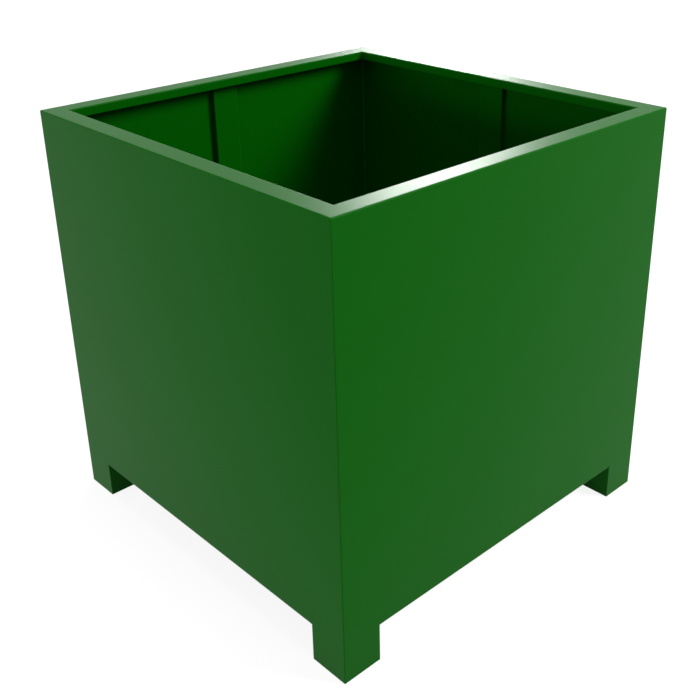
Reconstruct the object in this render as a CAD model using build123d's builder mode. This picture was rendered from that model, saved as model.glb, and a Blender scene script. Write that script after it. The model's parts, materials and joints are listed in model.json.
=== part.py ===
"""Square planter box of folded and welded sheet steel, standing on four boxed corner feet.

Four folded wall panels meet in mitres at the corners. Each panel is one sheet: a leg at either end,
a flange folded in along the bottom, the wall, a rim folded in along the top and a lip folded down
inside the rim. A channel stiffens the middle of each wall. The base plate lies on three channels,
which stand on the bottom flanges, and on the angles that close the feet. Short welds hold it together.

All sizes are in millimetres. +X is to the right, +Y to the back and +Z up. The origin is on the
ground, in the middle of the plan.
"""

import os

from build123d import *

# Overall
plan_x = 1000.0  # outside, left to right
plan_y = 1000.0  # outside, front to back
height = 1000.0  # ground to the top of the rim

# Sheet
sheet = 2.0  # walls, channels and foot angles
bend_inside = 1.0  # inside radius of every fold
corner_round = 2.0  # ground radius of the welded outer corners
fit_gap = 0.5  # between the edge of a part and what it is dropped in beside

# Rim
rim_width = 48.0  # outside of the wall to the inside of the lip
lip_depth = 21.0  # top of the rim to the lip's edge

# Feet
foot_width = 98.0
foot_height = 90.0  # ground to the underside of the walls: room for a pallet truck's forks
foot_plate_thickness = 10.0
vent_hole = 10.0  # lets air and water out of the closed foot

# Base
flange_width = 30.0  # outside of the wall to the edge of its bottom flange
relief = 1.0  # notch between the bottom flange and a leg
support_height = 38.0  # channels between the bottom flanges and the base plate
support_width = 60.0
support_count = 3
support_spacing = 290.0
base_thickness = 3.0
drain_hole = 25.0
drain_rows = 3
drain_row_spacing = 290.0

# Wall stiffeners
stiffener_width = 74.0
stiffener_depth = 15.0  # how far they stand in from the wall

# Welds: the legs of each fillet, then the stitches of the long seams
corner_leg = 4.0
stiffener_leg = 3.0
base_leg = 4.0
support_leg = 5.0
foot_leg = 4.0
rim_bead_width = 4.0
rim_bead_height = 1.5
stiffener_stitch = 40.0
stiffener_stitch_count = 5
base_stitch = 60.0
base_stitch_count = 2  # on either side of a wall's stiffener
stitch_margin = 60.0  # end of a seam to its first stitch

# Derived sizes
bend_outside = bend_inside + sheet
bend_clearance = bend_inside + fit_gap  # keeps the end of a part off the hollow of a fold
flange_top = foot_height + sheet
relief_top = foot_height + 2 * bend_outside  # top of the notches, above the curve of the bottom fold
base_underside = flange_top + support_height
base_top = base_underside + base_thickness
rim_underside = height - sheet
stiffener_face = sheet + stiffener_depth
stiffener_top = rim_underside - bend_clearance
foot_inside = foot_width - 2 * sheet
foot_plate_side = foot_inside - 2 * fit_gap
bevel_side = foot_plate_side - 2 * foot_leg  # what the bevel leaves of the foot plate's underside

wall_turns = {"front": 0, "right": 90, "back": 180, "left": 270}
corner_turns = {"front_left": 0, "front_right": 90, "back_right": 180, "back_left": 270}


class Wall:
    """Directions and planes of one wall, found by turning the front wall about the Z axis."""

    def __init__(self, turn):
        self.turned = turn % 180 != 0
        self.run = plan_y if self.turned else plan_x  # length of the wall
        self.reach = (plan_x if self.turned else plan_y) / 2  # middle of the plan to the outside
        self.along = Vector(1, 0, 0).rotate(Axis.Z, turn)
        self.inward = Vector(0, 1, 0).rotate(Axis.Z, turn)

    def point(self, along, inward, z=0.0):
        """Finds the point that is along from the wall's middle, in from its outside, and z up."""
        return self.along * along + self.inward * (inward - self.reach) + Vector(0, 0, z)

    def section(self, along):
        """Upright plane across the wall: x inward from its outside, y up."""
        return Plane(self.point(along, 0), x_dir=self.inward, z_dir=self.along)

    def elevation(self, inward):
        """Upright plane parallel to the wall and facing out: x along the wall, y up."""
        return Plane(self.point(0, inward), x_dir=self.along, z_dir=-self.inward)

    def level(self, z):
        """Flat plane: x along the wall from its middle, y inward from its outside."""
        return Plane(self.point(0, 0, z), x_dir=self.along, z_dir=(0, 0, 1))

    def corner(self, z):
        """Flat plane at the corner where the wall starts: x along the wall, y inward."""
        return Plane(self.point(-self.run / 2, 0, z), x_dir=self.along, z_dir=(0, 0, 1))

    def mitre(self, end):
        """Upright plane that halves the corner at one end, -1 or 1, facing the wall's middle."""
        return Plane(self.point(end * self.run / 2, 0), z_dir=self.along * -end - self.inward)


def folded_section(plane, *points):
    """Draws a folded sheet's section on a plane from points along its outside, turning clockwise."""
    with BuildSketch(plane) as section:
        with BuildLine():
            outside = FilletPolyline(*points, radius=bend_outside)
            offset(outside, amount=sheet, side=Side.RIGHT)
        make_face()
    return section.sketch


def fillet_section(x, y, leg_x, leg_y):
    """Draws a fillet weld's section, with its square corner at x, y and signed leg lengths."""
    Polygon((x, y), (x + leg_x, y), (x, y + leg_y), align=None)


def spread(first, last, count):
    """Spreads count values evenly from first to last."""
    return [first + (last - first) * i / (count - 1) for i in range(count)]


def save(part, name):
    """Labels a finished piece and writes it to a file of its own."""
    part.label = name
    export_step(part, f"parts/{name}.step")


def build_wall_panel(wall):
    """Folds one wall: two legs, bottom flange, wall, rim and lip, mitred at both ends."""
    half = wall.run / 2
    flange_end = half - foot_width - relief
    lip_edge = height - lip_depth
    top_section = folded_section(
        wall.section(-half), (0, relief_top), (0, height), (rim_width, height), (rim_width, lip_edge)
    )
    flange_section = folded_section(
        wall.section(-flange_end), (flange_width, foot_height), (0, foot_height), (0, relief_top)
    )
    with BuildPart() as panel:
        extrude(top_section, amount=wall.run, dir=wall.along)
        extrude(flange_section, amount=2 * flange_end, dir=wall.along)
        with BuildSketch(wall.elevation(0)):
            with Locations((-half, 0)):
                Rectangle(foot_width, relief_top, align=(Align.MIN, Align.MIN))
            with Locations((half, 0)):
                Rectangle(foot_width, relief_top, align=(Align.MAX, Align.MIN))
        extrude(amount=-sheet)
        with BuildSketch():
            RectangleRounded(plan_x, plan_y, corner_round)
        extrude(amount=height, mode=Mode.INTERSECT)
        split(bisect_by=wall.mitre(-1))
        split(bisect_by=wall.mitre(1))
    return panel.part


def build_stiffener(wall):
    """Folds the channel that stands on the base plate against the middle of a wall."""
    half = stiffener_width / 2
    section = folded_section(
        wall.level(base_top), (-half, sheet), (-half, stiffener_face), (half, stiffener_face), (half, sheet)
    )
    with BuildPart() as stiffener:
        extrude(section, amount=stiffener_top - base_top, dir=(0, 0, 1))
    return stiffener.part


def build_base_support(x):
    """Folds a channel, open below, that carries the base plate from the front flange to the back."""
    left = x - support_width / 2
    right = x + support_width / 2
    section = folded_section(
        Plane.XZ, (left, flange_top), (left, base_underside), (right, base_underside), (right, flange_top)
    )
    with BuildPart() as support:
        extrude(section, amount=plan_y / 2 - sheet - bend_clearance, dir=(0, 1, 0), both=True)
    return support.part


def build_foot_angle(wall):
    """Folds the angle that closes the two inner sides of the foot at the wall's first corner."""
    section = folded_section(
        wall.corner(0), (sheet, foot_width), (foot_width, foot_width), (foot_width, sheet)
    )
    with BuildPart() as angle:
        extrude(section, amount=base_underside, dir=(0, 0, 1))
    return angle.part


def build_foot_plate(wall):
    """Cuts the plate that closes a foot, bevelled below for its weld and holed to vent the foot."""
    with BuildPart() as plate:
        with BuildSketch(wall.corner(0)):
            with Locations((foot_width / 2, foot_width / 2)):
                Rectangle(foot_plate_side, foot_plate_side)
        extrude(amount=foot_plate_thickness)
        chamfer(plate.edges().group_by(Axis.Z)[0], length=foot_leg)
        with BuildSketch(wall.corner(0)):
            with Locations((foot_width / 2, foot_width / 2)):
                Circle(vent_hole / 2)
        extrude(amount=foot_plate_thickness, mode=Mode.SUBTRACT)
    return plate.part


os.makedirs("parts", exist_ok=True)
walls = {name: Wall(turn) for name, turn in wall_turns.items()}
corners = {name: Wall(turn) for name, turn in corner_turns.items()}

# Wall panels, with their stiffeners
for name, wall in walls.items():
    save(build_wall_panel(wall), f"{name}_wall_panel")
    save(build_stiffener(wall), f"{name}_stiffener")

# Base plate, drained between the channels that carry it
with BuildPart() as base_plate:
    with BuildSketch(Plane.XY.offset(base_underside)):
        Rectangle(plan_x - 2 * (sheet + fit_gap), plan_y - 2 * (sheet + fit_gap))
        with GridLocations(support_spacing, drain_row_spacing, support_count - 1, drain_rows):
            Circle(drain_hole / 2, mode=Mode.SUBTRACT)
    extrude(amount=base_thickness)
save(base_plate.part, "base_plate")

support_reach = support_spacing * (support_count - 1) / 2
support_centres = spread(-support_reach, support_reach, support_count)
for number, x in enumerate(support_centres, start=1):
    save(build_base_support(x), f"base_support_{number}")

# Feet
angles = {}
plates = {}
for name, wall in corners.items():
    angles[name] = build_foot_angle(wall)
    plates[name] = build_foot_plate(wall)
    save(angles[name], f"{name}_foot_angle")
    save(plates[name], f"{name}_foot_plate")

# Welds up the inside of the four corners
with BuildPart() as corner_welds:
    for wall in corners.values():
        with BuildSketch(wall.corner(base_top)):
            fillet_section(sheet, sheet, corner_leg, corner_leg)
        extrude(amount=stiffener_top - base_top)
save(corner_welds.part, "corner_welds")

# Welds under the rim's mitres, from the wall to the lip
mitre_bead_start = sheet + corner_leg
mitre_bead_end = rim_width - sheet - bend_clearance
with BuildPart() as rim_mitre_welds:
    for wall in corners.values():
        start = wall.point(mitre_bead_start - wall.run / 2, mitre_bead_start, rim_underside)
        end = wall.point(mitre_bead_end - wall.run / 2, mitre_bead_end, rim_underside)
        seam = end - start
        with BuildSketch(Plane(start, x_dir=seam.cross(Vector(0, 0, 1)), z_dir=seam)) as bead:
            with BuildLine():
                foot = Line((-rim_bead_width / 2, 0), (rim_bead_width / 2, 0))
                ThreePointArc(foot @ 0, (0, rim_bead_height), foot @ 1)
            make_face()
        extrude(amount=seam.length)
save(rim_mitre_welds.part, "rim_mitre_welds")

# Stitches down both sides of the stiffeners
stitch_starts = spread(
    base_top + stitch_margin, stiffener_top - stitch_margin - stiffener_stitch, stiffener_stitch_count
)
with BuildPart() as stiffener_welds:
    for wall in walls.values():
        for z in stitch_starts:
            with BuildSketch(wall.level(z)):
                fillet_section(stiffener_width / 2, sheet, stiffener_leg, stiffener_leg)
                fillet_section(-stiffener_width / 2, sheet, -stiffener_leg, stiffener_leg)
            extrude(amount=stiffener_stitch)
save(stiffener_welds.part, "stiffener_welds")

# Stitches that hold the base plate to the walls, on either side of the stiffeners
with BuildPart() as base_welds:
    for wall in walls.values():
        first = stiffener_width / 2 + stitch_margin
        last = wall.run / 2 - stitch_margin - base_stitch
        for distance in spread(first, last, base_stitch_count):
            for start in (distance, -distance - base_stitch):
                with BuildSketch(wall.section(start)):
                    fillet_section(sheet, base_top, base_leg, base_leg)
                extrude(amount=base_stitch)
save(base_welds.part, "base_welds")

# Welds where the base supports stand on the front and back flanges
with BuildPart() as support_welds:
    for wall in (walls["front"], walls["back"]):
        with BuildSketch(wall.elevation(flange_width)):
            for x in support_centres:
                fillet_section(x + support_width / 2, flange_top, support_leg, support_leg)
                fillet_section(x - support_width / 2, flange_top, -support_leg, support_leg)
        extrude(amount=flange_width - sheet - bend_clearance)
save(support_welds.part, "support_welds")

# Welds that hold the foot angles to the walls, above the bottom flanges
with BuildPart() as foot_angle_welds:
    for wall in corners.values():
        with BuildSketch(wall.corner(flange_top + bend_clearance)):
            fillet_section(foot_width, sheet, foot_leg, foot_leg)
            fillet_section(sheet, foot_width, foot_leg, foot_leg)
        extrude(amount=support_height - bend_clearance)
save(foot_angle_welds.part, "foot_angle_welds")

# Welds that fill the bevel round each foot plate, ground flush
with BuildPart() as foot_plate_welds:
    for name, wall in corners.items():
        with BuildSketch(wall.corner(0)):
            with Locations((foot_width / 2, foot_width / 2)):
                Rectangle(foot_inside, foot_inside)
                Rectangle(bevel_side, bevel_side, mode=Mode.SUBTRACT)
        extrude(amount=foot_leg)
        add(plates[name], mode=Mode.SUBTRACT)
        add(angles[name], mode=Mode.SUBTRACT)
save(foot_plate_welds.part, "foot_plate_welds")
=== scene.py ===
"""Planter box of folded, welded and powder-coated sheet steel, in a plain studio.

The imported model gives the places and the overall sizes. Every sheet piece is made again here with
smooth folds and finely rounded edges, and every weld with its ripples, and each stands for its node.
Lengths are in metres. +X is to the right, +Y to the back and +Z up, with the ground at zero.
"""

import json
import logging
import math
from dataclasses import dataclass, field
from enum import Enum

import bpy
import numpy as np
from mathutils import Matrix, Vector
from numpy.typing import NDArray


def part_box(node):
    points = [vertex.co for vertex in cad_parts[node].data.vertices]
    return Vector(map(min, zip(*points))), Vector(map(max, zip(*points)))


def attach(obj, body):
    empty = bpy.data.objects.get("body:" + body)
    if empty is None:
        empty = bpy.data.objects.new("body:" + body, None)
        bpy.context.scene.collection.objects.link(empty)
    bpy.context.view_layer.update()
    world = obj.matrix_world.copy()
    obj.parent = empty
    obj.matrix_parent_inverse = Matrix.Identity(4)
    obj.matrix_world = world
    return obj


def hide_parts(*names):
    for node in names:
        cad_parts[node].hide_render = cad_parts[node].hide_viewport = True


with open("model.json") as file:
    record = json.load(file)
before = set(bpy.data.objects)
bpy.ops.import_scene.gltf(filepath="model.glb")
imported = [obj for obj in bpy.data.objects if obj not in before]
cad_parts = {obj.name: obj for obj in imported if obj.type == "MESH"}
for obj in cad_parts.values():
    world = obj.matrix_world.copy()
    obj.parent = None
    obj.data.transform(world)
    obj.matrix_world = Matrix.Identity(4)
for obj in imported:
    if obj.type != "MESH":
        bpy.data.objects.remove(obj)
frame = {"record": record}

LOG = logging.getLogger("planter")
MM = 0.001
ROOT_BODY = "root"
# Mark of the folds and cut edges that the coat paints paler: partly rubbing, partly a painted edge highlight.
WEAR_AND_HIGHLIGHT_ATTRIBUTE = "edge_wear_and_highlight"

Array = NDArray[np.float64]
Indices = NDArray[np.int64]


class Side(Enum):
    """The four walls, each valued by its quarter turns from the front one."""

    FRONT = 0
    RIGHT = 1
    BACK = 2
    LEFT = 3

    def place(self, points: Array, half: float) -> Array:
        """Turns points from a wall's own directions to the planter's.

        The wall's directions are along it from its middle, inward from its outside, and up. The
        front wall only moves by half the plan; the others are turned about the Z axis as well.

        Args:
            points: Points in the wall's directions, in the last axis.
            half: Distance from the middle of the plan to the walls' outside.

        Returns:
            The points in the planter's frame, in the same shape.
        """
        angle = self.value * math.pi / 2
        along, depth = points[..., 0], points[..., 1] - half
        x = along * round(math.cos(angle)) - depth * round(math.sin(angle))
        y = along * round(math.sin(angle)) + depth * round(math.cos(angle))
        return np.stack([x, y, points[..., 2]], axis=-1)


class Corner(Enum):
    """The four corners, each valued by the wall that starts there."""

    FRONT_LEFT = Side.FRONT
    FRONT_RIGHT = Side.RIGHT
    BACK_RIGHT = Side.BACK
    BACK_LEFT = Side.LEFT

    def place(self, points: Array, half: float) -> Array:
        """Turns points measured from this corner along its two walls to the planter's frame.

        Args:
            points: Points along the first wall, along the second, and up, in the last axis.
            half: Distance from the middle of the plan to the walls' outside.

        Returns:
            The points in the planter's frame, in the same shape.
        """
        return self.value.place(points - np.array([half, 0.0, 0.0]), half)


@dataclass(frozen=True)
class Sizes:
    """The planter's sizes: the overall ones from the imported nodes, the sheet's own as made."""

    sheet: float = 2.0 * MM
    bend_inside: float = 1.0 * MM
    corner_round: float = 2.0 * MM
    flange_width: float = 30.0 * MM
    foot_height: float = 90.0 * MM
    lip_depth: float = 21.0 * MM
    relief: float = 1.0 * MM
    drain_radius: float = 12.5 * MM
    vent_radius: float = 5.0 * MM
    foot_bevel: float = 4.0 * MM

    @property
    def half(self) -> float:
        """Middle of the plan to the outside of the walls."""
        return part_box("right_wall_panel")[1][0]

    @property
    def height(self) -> float:
        """Ground to the top of the rim."""
        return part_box("front_wall_panel")[1][2]

    @property
    def rim_width(self) -> float:
        """Outside of the wall to the inside of the lip."""
        low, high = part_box("front_wall_panel")
        return high[1] - low[1]

    @property
    def bend_outside(self) -> float:
        """Outside radius of the folds."""
        return self.bend_inside + self.sheet

    @property
    def foot_width(self) -> float:
        """Outside of the planter to the inner side of a foot."""
        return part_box("front_left_foot_angle")[1][0] + self.half

    @property
    def relief_top(self) -> float:
        """Top of the notches beside the feet."""
        return self.foot_height + 2 * self.bend_outside

    @property
    def base_top(self) -> float:
        """Ground to the top of the base plate."""
        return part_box("base_plate")[1][2]


@dataclass
class Surface:
    """Points and four-cornered faces of a piece, with the seam marks of its points and their edge marks for rubbing and
    a painted edge highlight.
    """

    points: Array
    faces: Indices
    wear_and_highlight: Array
    seam: NDArray[np.bool_]

    @classmethod
    def plain(cls, points: Array, faces: Indices) -> "Surface":
        """Makes a surface with no edge mark for rubbing and painted highlight, and no seam."""
        count = len(points)
        return cls(points, faces, np.zeros(count), np.zeros(count, dtype=bool))

    @classmethod
    def joined(cls, parts: list["Surface"]) -> "Surface":
        """Puts several surfaces into one.

        Args:
            parts: The surfaces, each with its own numbering.

        Returns:
            One surface that holds them all.
        """
        counts = np.array([len(part.points) for part in parts])
        starts = np.concatenate([[0], np.cumsum(counts)[:-1]])
        return cls(
            np.concatenate([part.points for part in parts]),
            np.concatenate([part.faces + start for part, start in zip(parts, starts)]),
            np.concatenate([part.wear_and_highlight for part in parts]),
            np.concatenate([part.seam for part in parts]),
        )

    def welded(self, reach: float = 1e-6) -> "Surface":
        """Merges points that coincide and drops faces that this leaves with no area.

        Args:
            reach: Points that round to the same multiple of this become one.

        Returns:
            The surface with each point once. A triangle repeats its last corner.
        """
        keys = np.round(self.points / reach).astype(np.int64)
        _, first, number = np.unique(keys, axis=0, return_index=True, return_inverse=True)
        faces = number.reshape(-1)[self.faces]
        same = faces == np.roll(faces, -1, axis=1)
        crossed = (faces[:, 0] == faces[:, 2]) | (faces[:, 1] == faces[:, 3])
        faces, same = faces[~crossed & (same.sum(axis=1) <= 1)], same[~crossed & (same.sum(axis=1) <= 1)]
        turn = np.where(same.any(axis=1), np.argmax(same, axis=1) + 2, 0)
        corners = (np.arange(4)[None, :] + turn[:, None]) % 4
        faces = np.take_along_axis(faces, corners, axis=1)
        used, compact = np.unique(faces, return_inverse=True)
        kept = first[used]
        return Surface(self.points[kept], compact.reshape(faces.shape), self.wear_and_highlight[kept], self.seam[kept])

    def outward(self) -> "Surface":
        """Turns all faces of a closed surface over if they enclose a negative volume."""
        a, b, c, d = (self.points[self.faces[:, k]] for k in range(4))
        volume = np.einsum("ij,ij->", a, np.cross(b, c)) + np.einsum("ij,ij->", a, np.cross(c, d))
        faces = self.faces if volume > 0 else self.faces[:, [1, 0, 3, 2]]
        return Surface(self.points, faces, self.wear_and_highlight, self.seam)

    def placed(self, points: Array) -> "Surface":
        """Gives the surface other points in the same order, and turns its faces outwards."""
        return Surface(points.reshape(-1, 3), self.faces, self.wear_and_highlight, self.seam).outward()


def grid_faces(rows: int, columns: int, close_rows: bool = False, close_columns: bool = False) -> Indices:
    """Numbers the four-cornered faces between the points of a grid.

    Args:
        rows: Number of points in the first direction.
        columns: Number of points in the second direction.
        close_rows: Whether the last row joins the first.
        close_columns: Whether the last column joins the first.

    Returns:
        The corner numbers of each face, for points numbered row by row.
    """
    i, j = np.meshgrid(
        np.arange(rows if close_rows else rows - 1),
        np.arange(columns if close_columns else columns - 1),
        indexing="ij",
    )
    k, m = (i + 1) % rows, (j + 1) % columns
    corners = [i * columns + j, k * columns + j, k * columns + m, i * columns + m]
    return np.stack(corners, axis=-1).reshape(-1, 4)


@dataclass(frozen=True)
class FoldLine:
    """The outside line of a folded sheet: its points, its outward directions and its edge mark for rubbing and a
    painted edge highlight.
    """

    points: Array
    normals: Array
    wear_and_highlight: Array

    @classmethod
    def through(cls, corners: list[tuple[float, float]], radius: float, hold: float = 1.2 * MM) -> "FoldLine":
        """Rounds each corner of a line that turns clockwise.

        Each fold is an arc: its centre, plus the radius times a direction that swings from the
        normal of the run before it to that of the run after it. Beside each arc and each end, one
        more point holds the flat of the sheet.

        Args:
            corners: The line's ends and its sharp corners.
            radius: Outside radius of the folds.
            hold: Distance from an arc or an end to the point that holds the flat.

        Returns:
            The rounded line. Its edge mark, for rubbing and a painted edge highlight, is one on the folds and ends, and
            zero on the flats.
        """
        steps = 7
        line = np.asarray(corners, dtype=float)
        runs = np.diff(line, axis=0)
        ways = runs / np.linalg.norm(runs, axis=1, keepdims=True)
        sides = np.stack([-ways[:, 1], ways[:, 0]], axis=1)
        swing = np.linspace(0.0, math.pi / 2, steps)[:, None]
        points = [line[:1], line[:1] + ways[:1] * hold]
        normals = [sides[:1], sides[:1]]
        wear_and_highlight = [1.0, 0.0]
        for bend in range(1, len(line) - 1):
            before, after = ways[bend - 1 : bend], ways[bend : bend + 1]
            start = line[bend : bend + 1] - before * radius
            out = sides[bend - 1 : bend] * np.cos(swing) + before * np.sin(swing)
            arc = start - sides[bend - 1 : bend] * radius + out * radius
            points += [start - before * hold, arc, arc[-1:] + after * hold]
            normals += [sides[bend - 1 : bend], out, sides[bend : bend + 1]]
            wear_and_highlight += [0.0, *[1.0] * steps, 0.0]
        points += [line[-1:] - ways[-1:] * hold, line[-1:]]
        normals += [sides[-1:], sides[-1:]]
        wear_and_highlight += [0.0, 1.0]
        return cls(np.concatenate(points), np.concatenate(normals), np.array(wear_and_highlight))

    def inner(self, thickness: float) -> Array:
        """Finds the inside line of the sheet: each point less its normal times the thickness."""
        return self.points - self.normals * thickness


def sheet_surface(outer: Array, inner: Array, cells: NDArray[np.bool_], wear_and_highlight: Array, seam: NDArray[np.bool_]) -> Surface:
    """Closes a sheet round the cells of a grid that it fills.

    The outer and inner faces are the grid's cells. Wherever a filled cell meets an empty one or the
    grid's end, a face joins the outer edge to the inner one.

    Args:
        outer: Points of the outside, as rows by columns by three.
        inner: Points of the inside, in the same order.
        cells: Which cells the sheet fills, one less than the points each way.
        wear_and_highlight: Edge marks of the points, for rubbing and a painted edge highlight, as rows by columns.
        seam: Points on a welded seam, for the outside and the inside, as two by rows by columns.

    Returns:
        The closed surface, with its faces outwards.
    """
    rows, columns = outer.shape[:2]
    number = np.arange(rows * columns).reshape(rows, columns)
    below = rows * columns
    full = grid_faces(rows, columns)[cells.reshape(-1)]
    padded = np.pad(cells.astype(int), 1)
    across = padded[1:, 1:-1] - padded[:-1, 1:-1]
    along = padded[1:-1, 1:] - padded[1:-1, :-1]
    i, j = np.nonzero(across)
    first, second = number[i, j], number[i, j + 1]
    way = across[i, j] > 0
    a, b = np.where(way, first, second), np.where(way, second, first)
    ends = np.stack([a, b, b + below, a + below], axis=1)
    i, j = np.nonzero(along)
    first, second = number[i, j], number[i + 1, j]
    way = along[i, j] < 0
    a, b = np.where(way, first, second), np.where(way, second, first)
    edges = np.stack([a, b, b + below, a + below], axis=1)
    faces = np.concatenate([full, full[:, ::-1] + below, ends, edges])
    points = np.concatenate([outer.reshape(-1, 3), inner.reshape(-1, 3)])
    return Surface(points, faces, np.concatenate([wear_and_highlight.reshape(-1)] * 2), seam.reshape(-1)).welded().outward()


def folded_length(line: FoldLine, thickness: float, length: float, hold: float = 1.2 * MM) -> Surface:
    """Carries the section of a folded sheet straight along its length.

    Args:
        line: The outside line of the section.
        thickness: Thickness of the sheet.
        length: How far the section is carried.
        hold: Distance from each end to the points that hold the flats.

    Returns:
        The closed sheet: the section in the first two directions, the length in the third.
    """
    stations = np.array([0.0, hold, length / 2, length - hold, length])
    ends = np.array([1.0, 0.0, 0.0, 0.0, 1.0])
    shape = (len(stations), len(line.points))
    run = np.broadcast_to(stations[:, None], shape)
    outer, inner = (
        np.stack([np.broadcast_to(p[:, 0], shape), np.broadcast_to(p[:, 1], shape), run], axis=-1)
        for p in (line.points, line.inner(thickness))
    )
    wear_and_highlight = np.maximum(ends[:, None], line.wear_and_highlight[None, :])
    cells = np.ones((shape[0] - 1, shape[1] - 1), dtype=bool)
    return sheet_surface(outer, inner, cells, wear_and_highlight, np.zeros((2, *shape), dtype=bool))


def ring_surface(levels: Array) -> Surface:
    """Closes a ring from a loop of closed outlines, each joined to the next and the last to the first."""
    rows, columns = levels.shape[:2]
    faces = grid_faces(rows, columns, close_rows=True, close_columns=True)
    return Surface.plain(levels.reshape(-1, 3), faces).outward()


def circle_path(radius: float, count: int, height: float) -> Array:
    """Places count points on a level circle, at even angles from the corner direction."""
    angle = np.arange(count) / count * 2 * math.pi - 3 * math.pi / 4
    return np.stack([radius * np.cos(angle), radius * np.sin(angle), np.full(count, height)], axis=1)


def square_path(side: float, count: int, height: float) -> Array:
    """Places count points evenly round a level square, from its lower left corner.

    Along each side one coordinate runs evenly from corner to corner and the other stays: the
    running one is the clipped triangle wave of the distance round the square.

    Args:
        side: Length of the square's side.
        count: Number of points, a multiple of four.
        height: Height of the square.

    Returns:
        The points, three numbers each.
    """
    round_way = np.arange(count) / count * 4.0
    x = np.clip(np.minimum(round_way, 3.0 - round_way), 0.0, 1.0) - 0.5
    y = np.clip(np.minimum(round_way - 1.0, 4.0 - round_way), 0.0, 1.0) - 0.5
    return np.stack([x * side, y * side, np.full(count, height)], axis=1)


@dataclass(frozen=True)
class BeadShape:
    """Section and ripple of a weld bead."""

    section: Array
    lift: Array
    pitch: float = 2.6 * MM
    ripple: float = 0.07

    @classmethod
    def fillet(cls, leg: float) -> "BeadShape":
        """Shapes a fillet weld between two faces at right angles.

        The face of the bead lies between the straight line from toe to toe and the circle through
        both toes: its reach at an angle is a mix of the two, times the leg.

        Args:
            leg: Length of each leg.

        Returns:
            The bead's shape, its section starting at the root.
        """
        bulge = 0.4
        angle = np.linspace(0.0, math.pi / 2, 8)
        reach = leg * ((1 - bulge) / (np.cos(angle) + np.sin(angle)) + bulge)
        face = np.stack([reach * np.cos(angle), reach * np.sin(angle)], axis=1)
        lift = np.sin(2 * angle)
        return cls(np.concatenate([np.zeros((1, 2)), face]), np.concatenate([[0.0], lift]))

    @classmethod
    def domed(cls, width: float, height: float) -> "BeadShape":
        """Shapes a flat bead over a butt seam: half an ellipse on its width.

        Args:
            width: Width on the sheet.
            height: Height over the sheet.

        Returns:
            The bead's shape, its section starting at the middle of its flat.
        """
        angle = np.linspace(0.0, math.pi, 9)
        face = np.stack([width / 2 * np.cos(angle), height * np.sin(angle)], axis=1)
        return cls(np.concatenate([np.zeros((1, 2)), face]), np.concatenate([[0.0], np.sin(angle)]))


def bead_surface(start: Array, end: Array, across: Array, up: Array, shape: BeadShape) -> Surface:
    """Lays a rippled weld bead along a straight seam.

    Its section is carried from start to end. Its size follows one less the square of the distance
    into each rounded end, and waves by the ripple. The wave lags where the section is highest, so
    that each ripple is a crescent. A slower wave varies the bead's width as a hand does.

    Args:
        start: Where the seam starts.
        end: Where the seam ends.
        across: Unit direction of the section's first number.
        up: Unit direction of the section's second number.
        shape: Section and ripple of the bead.

    Returns:
        The closed bead.
    """
    steps_per_ripple = 4
    crescent = 0.35
    slow_pitch = 23.0 * MM
    slow_size = 0.04
    length = float(np.linalg.norm(end - start))
    count = max(12, int(length / shape.pitch * steps_per_ripple))
    run = np.linspace(0.0, length, count + 1)[:, None]
    blunt = np.abs(shape.section).max() * 1.2
    into_end = 1 - np.clip(np.minimum(run, length - run) / blunt, 0.0, 1.0)
    phase = 2 * math.pi * (run / shape.pitch - crescent * shape.lift[None, :])
    wave = 1 + shape.ripple * np.cos(phase) + slow_size * np.sin(2 * math.pi * run / slow_pitch + start.sum() * 90)
    size = np.sqrt(np.clip(1 - into_end**2, 0.0, 1.0)) * wave
    way = (end - start) / length
    offset = shape.section[None, :, :] * size[..., None]
    points = start + run[..., None] * way + offset[..., :1] * across + offset[..., 1:] * up
    rows, columns = points.shape[:2]
    return Surface.plain(points.reshape(-1, 3), grid_faces(rows, columns, close_columns=True)).welded().outward()


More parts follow.
